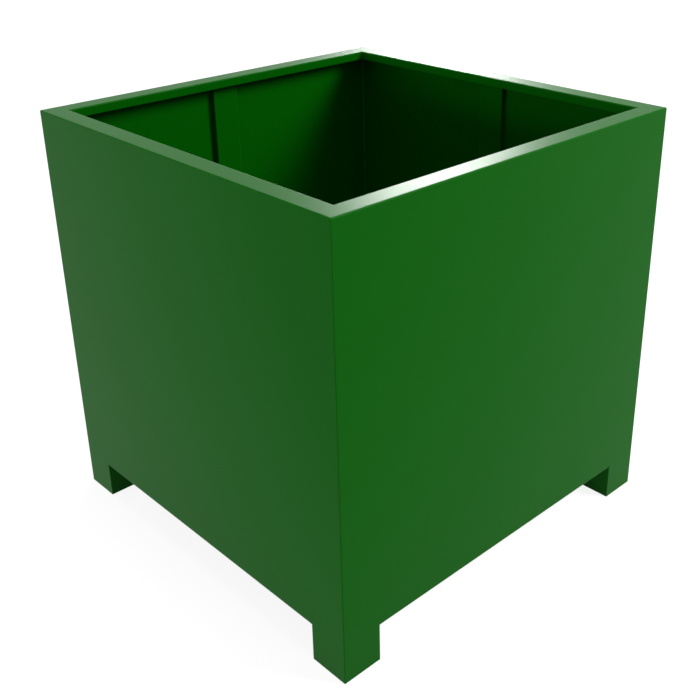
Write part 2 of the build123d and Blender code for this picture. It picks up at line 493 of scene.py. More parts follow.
class NodeBench:
    """Lays out shader nodes in one tree."""

    def __init__(self, tree: bpy.types.NodeTree) -> None:
        """Takes the tree that the nodes go into."""
        self.tree = tree

    def add(self, kind: str, **values: object) -> bpy.types.Node:
        """Adds a node and sets its properties and sockets.

        Args:
            kind: Type name of the node.
            values: Properties by name, or sockets by name with spaces as underscores.

        Returns:
            The new node.
        """
        node = self.tree.nodes.new(kind)
        for name, value in values.items():
            if hasattr(node, name):
                setattr(node, name, value)
            else:
                self.feed(node.inputs[name.replace("_", " ")], value)
        return node

    def feed(self, socket: bpy.types.NodeSocket, value: object) -> None:
        """Links a socket to another, or sets its value."""
        if isinstance(value, bpy.types.NodeSocket):
            self.tree.links.new(value, socket)
        else:
            socket.default_value = value

    def maths(self, operation: str, *values: object, clamp: bool = False) -> bpy.types.NodeSocket:
        """Adds a sum on numbers.

        Args:
            operation: Name of the sum.
            values: Its one to three numbers or sockets.
            clamp: Whether the result is kept between zero and one.

        Returns:
            The result's socket.
        """
        node = self.add("ShaderNodeMath", operation=operation, use_clamp=clamp)
        for socket, value in zip(node.inputs, values):
            self.feed(socket, value)
        return node.outputs[0]

    def spread(self, value: object, low: float, high: float, to_low: object, to_high: object) -> bpy.types.NodeSocket:
        """Maps a number from one range to another, smoothly and within its ends."""
        node = self.add("ShaderNodeMapRange", interpolation_type="SMOOTHSTEP")
        for name, number in zip(("Value", "From Min", "From Max", "To Min", "To Max"), (value, low, high, to_low, to_high)):
            self.feed(node.inputs[name], number)
        return node.outputs["Result"]

    def blend(self, amount: object, first: object, second: object, mode: str = "MIX") -> bpy.types.NodeSocket:
        """Mixes two colours."""
        node = self.add("ShaderNodeMix", data_type="RGBA", blend_type=mode)
        for index, value in ((0, amount), (6, first), (7, second)):
            self.feed(node.inputs[index], value)
        return node.outputs[2]

    def noise(self, vector: object, scale: object, detail: float = 2.0, roughness: float = 0.5) -> bpy.types.NodeSocket:
        """Adds a noise and gives its value."""
        node = self.add("ShaderNodeTexNoise", Vector=vector, Scale=scale, Detail=detail, Roughness=roughness)
        return node.outputs["Fac"]


@dataclass(frozen=True)
class GroupSocket:
    """One named input or output of an effect."""

    name: str
    kind: str
    default: object = None


class Effect:
    """A shader effect that several finishes share, built once as a node group."""

    name: str = ""
    inputs: tuple[GroupSocket, ...] = ()
    outputs: tuple[GroupSocket, ...] = ()

    def tree(self) -> bpy.types.NodeTree:
        """Gives the effect's node group, building it the first time.

        Returns:
            The node group.
        """
        made = bpy.data.node_groups.get(self.name)
        if made is not None:
            return made
        made = bpy.data.node_groups.new(self.name, "ShaderNodeTree")
        for sockets, direction in ((self.inputs, "INPUT"), (self.outputs, "OUTPUT")):
            for socket in sockets:
                item = made.interface.new_socket(socket.name, in_out=direction, socket_type=socket.kind)
                if socket.default is not None:
                    item.default_value = socket.default
        bench = NodeBench(made)
        given = bench.add("NodeGroupInput")
        result = bench.add("NodeGroupOutput")
        for name, socket in self.build(bench, given.outputs).items():
            bench.feed(result.inputs[name], socket)
        return made

    def build(self, bench: NodeBench, given: bpy.types.NodeOutputs) -> dict[str, bpy.types.NodeSocket]:
        """Lays out the effect's nodes and gives the socket for each output."""
        raise NotImplementedError

    def place(self, bench: NodeBench, **values: object) -> bpy.types.Node:
        """Puts the effect into a material.

        Args:
            bench: The material's nodes.
            values: Its inputs by name, with spaces as underscores.

        Returns:
            The group's node.
        """
        node = bench.add("ShaderNodeGroup", node_tree=self.tree())
        for name, value in values.items():
            bench.feed(node.inputs[name.replace("_", " ")], value)
        return node


VECTOR = "NodeSocketVector"
FLOAT = "NodeSocketFloat"
COLOUR = "NodeSocketColor"


class CoatPeel(Effect):
    """The fine dimples that powder leaves when it melts: two sizes of noise, added."""

    name = "coat_peel"
    inputs = (GroupSocket("Place", VECTOR), GroupSocket("Dimples per metre", FLOAT, 420.0))
    outputs = (GroupSocket("Height", FLOAT),)

    def build(self, bench: NodeBench, given: bpy.types.NodeOutputs) -> dict[str, bpy.types.NodeSocket]:
        """Adds a noise at the dimples' size and a softer one three times as large."""
        fine = bench.noise(given["Place"], given["Dimples per metre"], 1.0)
        broad = bench.noise(given["Place"], bench.maths("MULTIPLY", given["Dimples per metre"], 0.32), 2.0)
        return {"Height": bench.maths("MULTIPLY_ADD", broad, 0.6, fine)}


class CoatTone(Effect):
    """Slow drifts in the coat's depth of colour and in its gloss."""

    name = "coat_tone"
    inputs = (
        GroupSocket("Place", VECTOR),
        GroupSocket("Colour", COLOUR, (0.0, 0.1, 0.0, 1.0)),
        GroupSocket("Roughness", FLOAT, 0.3),
        GroupSocket("Colour drift", FLOAT, 0.04),
        GroupSocket("Gloss drift", FLOAT, 0.03),
    )
    outputs = (GroupSocket("Colour", COLOUR), GroupSocket("Roughness", FLOAT))

    def build(self, bench: NodeBench, given: bpy.types.NodeOutputs) -> dict[str, bpy.types.NodeSocket]:
        """Scales the colour by a broad noise and shifts the roughness by another."""
        drifts_per_metre = 3.5
        clouds_per_metre = 9.0
        speckles_per_metre = 900.0
        broad = bench.noise(given["Place"], drifts_per_metre, 3.0)
        speckle = bench.noise(given["Place"], speckles_per_metre, 1.0)
        drift = bench.maths("ADD", bench.maths("MULTIPLY", broad, 1.5), bench.maths("MULTIPLY", speckle, 0.5))
        level = bench.maths("MULTIPLY_ADD", bench.maths("SUBTRACT", drift, 1.0), given["Colour drift"], 1.0)
        scaled = bench.add("ShaderNodeVectorMath", operation="SCALE")
        bench.feed(scaled.inputs[0], given["Colour"])
        bench.feed(scaled.inputs["Scale"], level)
        clouds = bench.noise(given["Place"], clouds_per_metre, 4.0, 0.6)
        shift = bench.maths("MULTIPLY", bench.maths("SUBTRACT", clouds, 0.5), given["Gloss drift"])
        gloss = bench.maths("MULTIPLY_ADD", shift, 2.0, given["Roughness"])
        return {"Colour": scaled.outputs[0], "Roughness": gloss}


class EdgeWearAndHighlight(Effect):
    """Folds and cut edges painted paler and duller in broken patches: partly where the coat is thin and rubs through,
    partly a painted edge highlight.
    """

    name = "edge_rub_and_highlight"
    inputs = (
        GroupSocket("Place", VECTOR),
        GroupSocket("Edge", FLOAT, 0.0),
        GroupSocket("Colour", COLOUR, (0.0, 0.1, 0.0, 1.0)),
        GroupSocket("Rubbed colour", COLOUR, (0.1, 0.2, 0.1, 1.0)),
        GroupSocket("Roughness", FLOAT, 0.3),
        GroupSocket("Amount", FLOAT, 0.3),
    )
    outputs = (GroupSocket("Colour", COLOUR), GroupSocket("Roughness", FLOAT))

    def build(self, bench: NodeBench, given: bpy.types.NodeOutputs) -> dict[str, bpy.types.NodeSocket]:
        """Breaks the edge mask up with noise and mixes by it towards the paler colour of rubbing and painted edge
        highlight.
        """
        patches_per_metre = 38.0
        duller = 0.08
        patches = bench.spread(bench.noise(given["Place"], patches_per_metre, 5.0, 0.65), 0.42, 0.68, 0.25, 1.0)
        near = bench.spread(given["Edge"], 0.25, 0.95, 0.0, 1.0)
        mask = bench.maths("MULTIPLY", bench.maths("MULTIPLY", patches, near), given["Amount"], clamp=True)
        colour = bench.blend(mask, given["Colour"], given["Rubbed colour"])
        return {"Colour": colour, "Roughness": bench.maths("MULTIPLY_ADD", mask, duller, given["Roughness"])}


class SettledDust(Effect):
    """Dust that settles on what faces up and is rained off what stands upright."""

    name = "settled_dust"
    inputs = (
        GroupSocket("Place", VECTOR),
        GroupSocket("Colour", COLOUR, (0.0, 0.1, 0.0, 1.0)),
        GroupSocket("Dust colour", COLOUR, (0.2, 0.19, 0.16, 1.0)),
        GroupSocket("Roughness", FLOAT, 0.3),
        GroupSocket("Amount", FLOAT, 0.1),
    )
    outputs = (GroupSocket("Colour", COLOUR), GroupSocket("Roughness", FLOAT))

    def build(self, bench: NodeBench, given: bpy.types.NodeOutputs) -> dict[str, bpy.types.NodeSocket]:
        """Masks by how far the surface faces up, and by a cloudy noise with fine grains."""
        clouds_per_metre = 7.0
        grains_per_metre = 650.0
        duller = 0.35
        facing = bench.add("ShaderNodeSeparateXYZ", Vector=bench.add("ShaderNodeNewGeometry").outputs["Normal"])
        level = bench.spread(facing.outputs["Z"], 0.6, 0.98, 0.0, 1.0)
        clouds = bench.spread(bench.noise(given["Place"], clouds_per_metre, 5.0, 0.6), 0.3, 0.75, 0.35, 1.0)
        grains = bench.spread(bench.noise(given["Place"], grains_per_metre, 2.0), 0.35, 0.65, 0.6, 1.0)
        cover = bench.maths("MULTIPLY", clouds, grains)
        mask = bench.maths("MULTIPLY", bench.maths("MULTIPLY", level, cover), given["Amount"], clamp=True)
        colour = bench.blend(mask, given["Colour"], given["Dust colour"])
        return {"Colour": colour, "Roughness": bench.maths("MULTIPLY_ADD", mask, duller, given["Roughness"])}


@dataclass(frozen=True)
class PowderCoat:
    """Smooth leaf-green polyester powder coat on steel."""

    name: str
    colour: tuple[float, float, float] = (0.0015, 0.127, 0.0012)
    # Paler green of the folds and cut edges: partly the coat rubbing thin, partly a painted edge highlight.
    worn_and_highlight_colour: tuple[float, float, float] = (0.03, 0.21, 0.03)
    dust_colour: tuple[float, float, float] = (0.17, 0.2, 0.15)
    roughness: float = 0.3
    refraction: float = 1.12
    dimples_per_metre: float = 420.0
    dimple_height: float = 0.025 * MM
    colour_drift: float = 0.04
    gloss_drift: float = 0.03
    # How far the folds and cut edges are painted paler, for rubbing and a painted edge highlight.
    wear_and_highlight: float = 0.2
    dust: float = 0.05

    def material(self) -> bpy.types.Material:
        """Builds the finish as a material.

        Returns:
            The material, with its dimples, drifts, dust, and edges painted paler: partly rubbing, partly a painted edge
            highlight.
        """
        material = bpy.data.materials.new(self.name)
        material.use_nodes = True
        material.node_tree.nodes.clear()
        bench = NodeBench(material.node_tree)
        place = bench.add("ShaderNodeTexCoord").outputs["Object"]
        edge = bench.add("ShaderNodeAttribute", attribute_name=WEAR_AND_HIGHLIGHT_ATTRIBUTE).outputs["Fac"]
        tone = CoatTone().place(
            bench,
            Place=place,
            Colour=(*self.colour, 1.0),
            Roughness=self.roughness,
            Colour_drift=self.colour_drift,
            Gloss_drift=self.gloss_drift,
        )
        # Folds and cut edges painted paler and duller: partly rubbing, partly a painted edge highlight.
        worn_and_highlit = EdgeWearAndHighlight().place(
            bench,
            Place=place,
            Edge=edge,
            Colour=tone.outputs["Colour"],
            Rubbed_colour=(*self.worn_and_highlight_colour, 1.0),
            Roughness=tone.outputs["Roughness"],
            Amount=self.wear_and_highlight,
        )
        dusty = SettledDust().place(
            bench,
            Place=place,
            Colour=worn_and_highlit.outputs["Colour"],
            Dust_colour=(*self.dust_colour, 1.0),
            Roughness=worn_and_highlit.outputs["Roughness"],
            Amount=self.dust,
        )
        peel = CoatPeel().place(bench, Place=place, Dimples_per_metre=self.dimples_per_metre)
        bump = bench.add("ShaderNodeBump", Height=peel.outputs["Height"], Strength=1.0, Distance=self.dimple_height)
        shader = bench.add(
            "ShaderNodeBsdfPrincipled",
            Base_Color=dusty.outputs["Colour"],
            Roughness=dusty.outputs["Roughness"],
            Normal=bump.outputs["Normal"],
            Metallic=0.0,
            IOR=self.refraction,
        )
        bench.add("ShaderNodeOutputMaterial", Surface=shader.outputs["BSDF"])
        return material


@dataclass
class Workshop:
    """Turns surfaces into the planter's pieces and keeps the finishes that they share."""

    sizes: Sizes
    finishes: dict[str, bpy.types.Material] = field(default_factory=dict)

    def finish(self, coat: PowderCoat) -> bpy.types.Material:
        """Gives a finish's material, building it the first time."""
        if coat.name not in self.finishes:
            self.finishes[coat.name] = coat.material()
        return self.finishes[coat.name]

    def piece(self, name: str, node: str, surface: Surface, coat: PowderCoat, edge_round: float = 0.0) -> None:
        """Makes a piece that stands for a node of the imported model.

        Args:
            name: Name of the piece.
            node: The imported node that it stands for.
            surface: Its closed surface.
            coat: Its finish.
            edge_round: Radius of its sharp edges, or zero to leave them.
        """
        triangle = surface.faces[:, 2] == surface.faces[:, 3]
        corners = surface.faces[~triangle].tolist() + surface.faces[triangle, :3].tolist()
        mesh = bpy.data.meshes.new(name)
        mesh.from_pydata(surface.points.tolist(), [], corners)
        mesh.shade_smooth()
        mesh.set_sharp_from_angle(angle=math.radians(32.0))
        # Stores the edge mark that paints folds and cut edges paler, for rubbing and a painted edge highlight.
        mesh.attributes.new(WEAR_AND_HIGHLIGHT_ATTRIBUTE, "FLOAT", "POINT").data.foreach_set("value", surface.wear_and_highlight.astype(np.float32))
        made = bpy.data.objects.new(name, mesh)
        bpy.context.scene.collection.objects.link(made)
        if edge_round > 0:
            self.round_edges(made, surface, edge_round)
        mesh.materials.append(self.finish(coat))
        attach(made, ROOT_BODY)
        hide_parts(node)
        LOG.info("%s stands for %s: %d points, %d faces", name, node, len(surface.points), len(corners))

    def round_edges(self, made: bpy.types.Object, surface: Surface, radius: float) -> None:
        """Rounds a piece's sharp edges, but not the seams that are welded and ground.

        Args:
            made: The piece.
            surface: Its surface, whose marks say which points lie on a seam.
            radius: Radius of the rounding.
        """
        mesh = made.data
        count = len(mesh.edges)
        ends = np.empty(count * 2, dtype=np.int32)
        mesh.edges.foreach_get("vertices", ends)
        on_seam = surface.seam[ends.reshape(-1, 2)].all(axis=1)
        sharp = np.zeros(count, dtype=bool)
        mesh.attributes["sharp_edge"].data.foreach_get("value", sharp)
        weight = (sharp & ~on_seam).astype(np.float32)
        mesh.attributes.new("bevel_weight_edge", "FLOAT", "EDGE").data.foreach_set("value", weight)
        bevel = made.modifiers.new("rounded edges", "BEVEL")
        bevel.limit_method = "WEIGHT"
        bevel.width = radius
        bevel.segments = 2
        bevel.miter_outer = "MITER_ARC"
        shading = made.modifiers.new("flat faces", "WEIGHTED_NORMAL")
        shading.keep_sharp = True


@dataclass
class WallPanel:
    """One folded wall: two legs, a bottom flange, the wall, its rim and its lip."""

    side: Side
    coat: PowderCoat
    edge_round: float = 0.35 * MM
    hold: float = 1.2 * MM

    def rows(self, sizes: Sizes) -> tuple[FoldLine, FoldLine, int]:
        """Finds the lines up the panel, between the legs and on them.

        Between the legs the line starts at the bottom flange's edge. On the legs it starts on the
        ground. From the top of the notches both are the same line, up the wall, in along the rim
        and down the lip.

        Args:
            sizes: The planter's sizes.

        Returns:
            The line between the legs, the line on the legs with as many points, and how many
            points they differ in.
        """
        inside = sizes.rim_width
        low = FoldLine.through(
            [(sizes.flange_width, sizes.foot_height), (0.0, sizes.foot_height), (0.0, sizes.relief_top)],
            sizes.bend_outside,
            self.hold,
        )
        high = FoldLine.through(
            [(0.0, sizes.relief_top), (0.0, sizes.height), (inside, sizes.height), (inside, sizes.height - sizes.lip_depth)],
            sizes.bend_outside,
            self.hold,
        )
        count = len(low.points) - 1
        rise = np.concatenate([[0.0], np.linspace(self.hold, sizes.relief_top, count)[:-1]])
        wall = np.stack([np.zeros(count), rise], axis=1)
        out = np.tile([[-1.0, 0.0]], (count, 1))
        above = np.concatenate([[0.0], high.wear_and_highlight[1:]])
        between = FoldLine(
            np.concatenate([low.points[:-1], high.points]),
            np.concatenate([low.normals[:-1], high.normals]),
            np.concatenate([low.wear_and_highlight[:-1], above]),
        )
        on_legs = FoldLine(
            np.concatenate([wall, high.points]),
            np.concatenate([out, high.normals]),
            np.concatenate([[1.0], np.zeros(count - 1), above]),
        )
        return between, on_legs, count

    def surface(self, sizes: Sizes) -> Surface:
        """Builds the closed sheet.

        A point's place along the wall depends on its station and on its distance d in from the
        outside. Between the legs it is the station itself. From a leg's inner edge to the corner it
        is shared out evenly up to the mitre, which it meets at half the plan less d. Nearer the
        outside than the corner's radius, the last stations swing round the corner by 45 degrees.

        Args:
            sizes: The planter's sizes.

        Returns:
            The panel in the planter's frame.
        """
        between, on_legs, low_rows = self.rows(sizes)
        leg_edge = sizes.half - sizes.foot_width
        flange_end = leg_edge - sizes.relief
        middle = np.linspace(-flange_end + self.hold, flange_end - self.hold, 9)
        middle = np.concatenate([[-flange_end], middle, [flange_end]])
        shares = np.array([0.0, 0.015, 0.35, 0.7, 0.985, 1.0, 1.0, 1.0, 1.0])
        swings = np.radians([0.0, 0.0, 0.0, 0.0, 0.0, 0.0, 15.0, 30.0, 45.0])
        share = np.concatenate([shares[::-1], np.zeros(len(middle)), shares])[:, None]
        swing = np.concatenate([swings[::-1], np.zeros(len(middle)), swings])[:, None]
        hand = np.concatenate([-np.ones(len(shares)), np.zeros(len(middle)), np.ones(len(shares))])[:, None]
        station = np.concatenate([np.zeros(len(shares)), middle, np.zeros(len(shares))])[:, None]
        on_leg = hand != 0

        def layer(depth_between: Array, depth_legs: Array) -> tuple[Array, NDArray[np.bool_]]:
            """Places one face of the sheet and marks its points on the mitres."""
            line = np.where(on_leg[..., None], depth_legs[None], depth_between[None])
            depth, rise = line[..., 0], line[..., 1]
            left = np.maximum(sizes.corner_round - depth, 0.0)
            reach = sizes.half - np.maximum(depth, sizes.corner_round)
            beside = hand * (leg_edge + share * (reach - leg_edge) + left * np.sin(swing))
            along = np.where(on_leg, beside, station)
            inward = depth + left * (1 - np.cos(swing))
            seam = np.abs(along) > sizes.half - inward - 1e-7
            return np.stack([along, inward, rise], axis=-1), seam

        outer, outer_seam = layer(between.points, on_legs.points)
        inner, inner_seam = layer(between.inner(sizes.sheet), on_legs.inner(sizes.sheet))
        cells = np.ones((outer.shape[0] - 1, outer.shape[1] - 1), dtype=bool)
        notches = [len(shares) - 1, len(shares) + len(middle) - 1]
        cells[notches, :low_rows] = False
        # Edge marks that the coat paints paler, for rubbing and a painted edge highlight: the folds, the ends, the
        # corner's round and the notches' sides.
        row_wear_and_highlight = np.where(on_leg, on_legs.wear_and_highlight[None], between.wear_and_highlight[None])
        on_wall = on_legs.points[None, :, 0] < sizes.corner_round
        corner_wear_and_highlight = (np.abs(swing) > 0) & on_wall
        beside_notch = np.zeros(outer.shape[:2], dtype=bool)
        beside_notch[notches, :low_rows] = True
        beside_notch[[n + 1 for n in notches], :low_rows] = True
        wear_and_highlight = np.maximum(row_wear_and_highlight, (corner_wear_and_highlight | beside_notch).astype(float))
        sheet = sheet_surface(outer, inner, cells, wear_and_highlight, np.stack([outer_seam, inner_seam]))
        return sheet.placed(self.side.place(sheet.points, sizes.half))

    def build(self, shop: Workshop) -> None:
        """Makes the panel."""
        name = self.side.name.lower()
        shop.piece(f"{name}_panel", f"{name}_wall_panel", self.surface(shop.sizes), self.coat, self.edge_round)


@dataclass
class Channel:
    """A folded channel: a wall's stiffener, or a support of the base."""

    coat: PowderCoat
    edge_round: float = 0.3 * MM

    def stiffener(self, shop: Workshop, side: Side) -> None:
        """Makes the channel that stands against the middle of a wall.

        Args:
            shop: Where it is made.
            side: The wall.
        """
        sizes = shop.sizes
        low, high = (np.array(c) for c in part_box("front_stiffener"))
        half = (high[0] - low[0]) / 2
        back, front = low[1] + sizes.half, high[1] + sizes.half
        line = FoldLine.through([(-half, back), (-half, front), (half, front), (half, back)], sizes.bend_outside)
        sheet = folded_length(line, sizes.sheet, high[2] - low[2])
        placed = sheet.placed(side.place(sheet.points + [0.0, 0.0, low[2]], sizes.half))
        name = side.name.lower()
        shop.piece(f"{name}_wall_channel", f"{name}_stiffener", placed, self.coat, self.edge_round)

    def support(self, shop: Workshop, number: int) -> None:
        """Makes a channel that carries the base plate.

        Args:
            shop: Where it is made.
            number: Its number from the left.
        """
        node = f"base_support_{number}"
        low, high = (np.array(c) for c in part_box(node))
        line = FoldLine.through(
            [(low[0], low[2]), (low[0], high[2]), (high[0], high[2]), (high[0], low[2])], shop.sizes.bend_outside
        )
        sheet = folded_length(line, shop.sizes.sheet, high[1] - low[1])
        x, z, run = sheet.points.T
        placed = sheet.placed(np.stack([x, run + low[1], z], axis=1))
        shop.piece(f"base_channel_{number}", node, placed, self.coat, self.edge_round)


@dataclass
class Foot:
    """One boxed foot: the angle that closes its inner sides, and the plate under it."""

    corner: Corner
    coat: PowderCoat
    edge_round: float = 0.3 * MM
    around: int = 64

    def angle(self, shop: Workshop) -> None:
        """Makes the folded angle, from the ground to the base plate."""
        sizes = shop.sizes
        name = self.corner.name.lower()
        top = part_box(f"{name}_foot_angle")[1][2]
        width = sizes.foot_width
        line = FoldLine.through([(sizes.sheet, width), (width, width), (width, sizes.sheet)], sizes.bend_outside)
        sheet = folded_length(line, sizes.sheet, top)
        placed = sheet.placed(self.corner.place(sheet.points, sizes.half))
        shop.piece(f"{name}_angle", f"{name}_foot_angle", placed, self.coat, self.edge_round)

    def plate(self, shop: Workshop) -> None:
        """Makes the plate: a ring from the vent hole out over the top, down the bevel and back."""
        sizes = shop.sizes
        name = self.corner.name.lower()
        low, high = (np.array(c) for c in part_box(f"{name}_foot_plate"))
        side, top = high[0] - low[0], high[2]
        bottom_side = side - 2 * sizes.foot_bevel
        levels = np.stack(
            [
                circle_path(sizes.vent_radius, self.around, top),
                square_path(side, self.around, top),
                square_path(side, self.around, sizes.foot_bevel),
                square_path(bottom_side, self.around, low[2]),
                circle_path(sizes.vent_radius, self.around, low[2]),
            ]
        )
        middle = np.array([*(low + high)[:2] / 2, 0.0])
        ring = ring_surface(levels)
        shop.piece(f"{name}_sole", f"{name}_foot_plate", ring.placed(ring.points + middle), self.coat, self.edge_round)

    def build(self, shop: Workshop) -> None:
        """Makes both pieces."""
        self.angle(shop)
        self.plate(shop)


@dataclass
class BasePlate:
    """The floor of the planter, with its drain holes."""

    coat: PowderCoat
    edge_round: float = 0.35 * MM
    columns: int = 2
    rows: int = 3
    around: int = 96

    def surface(self, sizes: Sizes) -> Surface:
        """Builds the plate from one cell for each hole.

        A cell's face is a grid from the hole's circle to the cell's rectangle. Each of its points
        is a mix of the point on the circle and the point on the rectangle with the same number.

        Args:
            sizes: The planter's sizes.

        Returns:
            The closed plate in the planter's frame.
        """
        low, high = (np.array(c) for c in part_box("base_plate"))
        drains = [o["box_m"] for o in frame["record"]["physics"]["openings"] if o["name"].startswith("drain")]
        centres = np.mean(np.array(drains), axis=1)[:, :2]
        xs, ys = np.unique(np.round(centres[:, 0], 6)), np.unique(np.round(centres[:, 1], 6))
        splits = [
            np.concatenate([[low[k]], (c[1:] + c[:-1]) / 2, [high[k]]]) for k, c in ((0, xs), (1, ys))
        ]
        mixes = np.array([0.0, 0.012, 0.12, 1.0])[:, None, None]
        circle = circle_path(sizes.drain_radius, self.around, 0.0)
        square = square_path(1.0, self.around, 0.0)
        cells = []
        for column, x in enumerate(xs):
            for row, y in enumerate(ys):
                left, right = splits[0][column : column + 2]
                front, back = splits[1][row : row + 2]
                outline = square * [right - left, back - front, 0.0]
                outline = outline + [(left + right) / 2 - x, (front + back) / 2 - y, 0.0]
                face = circle * (1 - mixes) + outline * mixes + [x, y, 0.0]
                top = face + [0.0, 0.0, high[2]]
                bottom = face[::-1] + [0.0, 0.0, low[2]]
                levels = np.concatenate([top, bottom])
                faces = grid_faces(len(levels), self.around, close_rows=True, close_columns=True)
                shell = Surface.plain(levels.reshape(-1, 3), faces)
                cells.append(shell.outward())
        plate = Surface.joined(cells).welded()
        spots = plate.points[plate.faces][:, :, :2]
        upright = np.ptp(plate.points[plate.faces][:, :, 2], axis=1) > sizes.sheet / 2
        inside = np.all(np.abs(spots) < high[:2] - sizes.sheet, axis=(1, 2))
        wall = np.linalg.norm(spots[:, :, None] - centres[None, None], axis=3).min(axis=2) < sizes.drain_radius * 1.01
        edge = np.all(np.isclose(np.abs(spots), high[0], atol=1e-5), axis=1).any(axis=1)
        kept = ~upright | edge | (inside & wall.all(axis=1))
        return Surface(plate.points, plate.faces[kept], plate.wear_and_highlight, plate.seam).welded()

    def build(self, shop: Workshop) -> None:
        """Makes the plate."""
        shop.piece("floor_plate", "base_plate", self.surface(shop.sizes), self.coat, self.edge_round)


@dataclass
class Welds:
    """All the welds, by the seams that they close."""

    coat: PowderCoat
    corner_leg: float = 4.0 * MM
    stiffener_leg: float = 3.0 * MM
    base_leg: float = 4.0 * MM
    support_leg: float = 5.0 * MM
    foot_leg: float = 4.0 * MM
    rim_bead_width: float = 4.0 * MM
    rim_bead_height: float = 1.5 * MM
    bend_clearance: float = 1.5 * MM
    stitch: float = 40.0 * MM
    stitches: int = 5
    base_stitch: float = 60.0 * MM
    stitch_margin: float = 60.0 * MM

    def corners(self, shop: Workshop) -> None:
        """Runs a bead up the inside of each corner."""
        sizes = shop.sizes
        low, high = (c[2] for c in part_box("corner_welds"))
        shape = BeadShape.fillet(self.corner_leg)
        root = np.array([sizes.sheet, sizes.sheet, 0.0])
        bead = bead_surface(root + [0, 0, low], root + [0, 0, high], np.eye(3)[0], np.eye(3)[1], shape)
        self.finish(shop, "corner_beads", "corner_welds", [bead.placed(c.place(bead.points, sizes.half)) for c in Corner])

    def rim(self, shop: Workshop) -> None:
        """Runs a flat bead under each of the rim's mitres."""
        sizes = shop.sizes
        under = sizes.height - sizes.sheet
        first = sizes.sheet + self.corner_leg
        last = sizes.rim_width - sizes.sheet - self.bend_clearance
        across = np.array([1.0, -1.0, 0.0]) / math.sqrt(2)
        shape = BeadShape.domed(self.rim_bead_width, self.rim_bead_height)
        bead = bead_surface(
            np.array([first, first, under]), np.array([last, last, under]), across, -np.eye(3)[2], shape
        )
        self.finish(shop, "rim_beads", "rim_mitre_welds", [bead.placed(c.place(bead.points, sizes.half)) for c in Corner])

    def stiffeners(self, shop: Workshop) -> None:
        """Stitches both sides of each wall's channel."""
        sizes = shop.sizes
        low, high = (np.array(c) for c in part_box("front_stiffener"))
        half = (high[0] - low[0]) / 2
        starts = np.linspace(low[2] + self.stitch_margin, high[2] - self.stitch_margin - self.stitch, self.stitches)
        shape = BeadShape.fillet(self.stiffener_leg)
        beads = []
        for hand in (-1.0, 1.0):
            for start in starts:
                root = np.array([hand * half, sizes.sheet, start])
                bead = bead_surface(root, root + [0, 0, self.stitch], np.eye(3)[0] * hand, np.eye(3)[1], shape)
                beads += [bead.placed(side.place(bead.points, sizes.half)) for side in Side]
        self.finish(shop, "channel_beads", "stiffener_welds", beads)

    def base(self, shop: Workshop) -> None:
        """Stitches the base plate to the walls, either side of their channels."""
        sizes = shop.sizes
        low, high = (np.array(c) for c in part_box("front_stiffener"))
        first = (high[0] - low[0]) / 2 + self.stitch_margin
        last = sizes.half - self.stitch_margin - self.base_stitch
        shape = BeadShape.fillet(self.base_leg)
        beads = []
        for start in (first, last, -first - self.base_stitch, -last - self.base_stitch):
            root = np.array([start, sizes.sheet, sizes.base_top])
            bead = bead_surface(root, root + [self.base_stitch, 0, 0], np.eye(3)[1], np.eye(3)[2], shape)
            beads += [bead.placed(side.place(bead.points, sizes.half)) for side in Side]
        self.finish(shop, "floor_beads", "base_welds", beads)

    def supports(self, shop: Workshop) -> None:
        """Welds the base's channels to the front and back flanges."""
        sizes = shop.sizes
        shape = BeadShape.fillet(self.support_leg)
        beads = []
        for number in (1, 2, 3):
            low, high = (np.array(c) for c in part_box(f"base_support_{number}"))
            for hand, x in ((-1.0, low[0]), (1.0, high[0])):
                near = np.array([x, sizes.sheet + self.bend_clearance, low[2]])
                far = np.array([x, sizes.flange_width, low[2]])
                bead = bead_surface(near, far, np.eye(3)[0] * hand, np.eye(3)[2], shape)
                beads += [bead.placed(side.place(bead.points, sizes.half)) for side in (Side.FRONT, Side.BACK)]
        self.finish(shop, "support_beads", "support_welds", beads)

    def feet(self, shop: Workshop) -> None:
        """Welds the foot angles to the walls above the flanges, and fills the soles' bevels."""
        sizes = shop.sizes
        low, high = (c[2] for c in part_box("foot_angle_welds"))
        shape = BeadShape.fillet(self.foot_leg)
        x, y = np.eye(3)[0], np.eye(3)[1]
        beads = []
        for root, out, over in (
            (np.array([sizes.foot_width, sizes.sheet, 0.0]), x, y),
            (np.array([sizes.sheet, sizes.foot_width, 0.0]), y, x),
        ):
            bead = bead_surface(root + [0, 0, low], root + [0, 0, high], out, over, shape)
            beads += [bead.placed(c.place(bead.points, sizes.half)) for c in Corner]
        self.finish(shop, "foot_beads", "foot_angle_welds", beads)
        self.soles(shop)

    def soles(self, shop: Workshop) -> None:
        """Fills the bevel round each sole: a ring between the foot's sides and the plate."""
        sizes = shop.sizes
        around = 32
        outside = sizes.foot_width - 2 * sizes.sheet
        low, high = (np.array(c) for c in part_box("front_left_foot_plate"))
        side = high[0] - low[0]
        levels = np.stack(
            [
                square_path(outside, around, 0.0),
                square_path(outside, around, sizes.foot_bevel),
                square_path(side, around, sizes.foot_bevel),
                square_path(side - 2 * sizes.foot_bevel, around, 0.0),
            ]
        )
        ring = ring_surface(levels)
        middle = [sizes.foot_width / 2, sizes.foot_width / 2, 0.0]
        rings = [ring.placed(c.place(ring.points + middle, sizes.half)) for c in Corner]
        self.finish(shop, "sole_seams", "foot_plate_welds", rings)

    def finish(self, shop: Workshop, name: str, node: str, beads: list[Surface]) -> None:
        """Makes one piece of a set of beads."""
        shop.piece(name, node, Surface.joined(beads), self.coat)

    def build(self, shop: Workshop) -> None:
        """Makes every set of welds."""
        self.corners(shop)
        self.rim(shop)
        self.stiffeners(shop)
        self.base(shop)
        self.supports(shop)
        self.feet(shop)


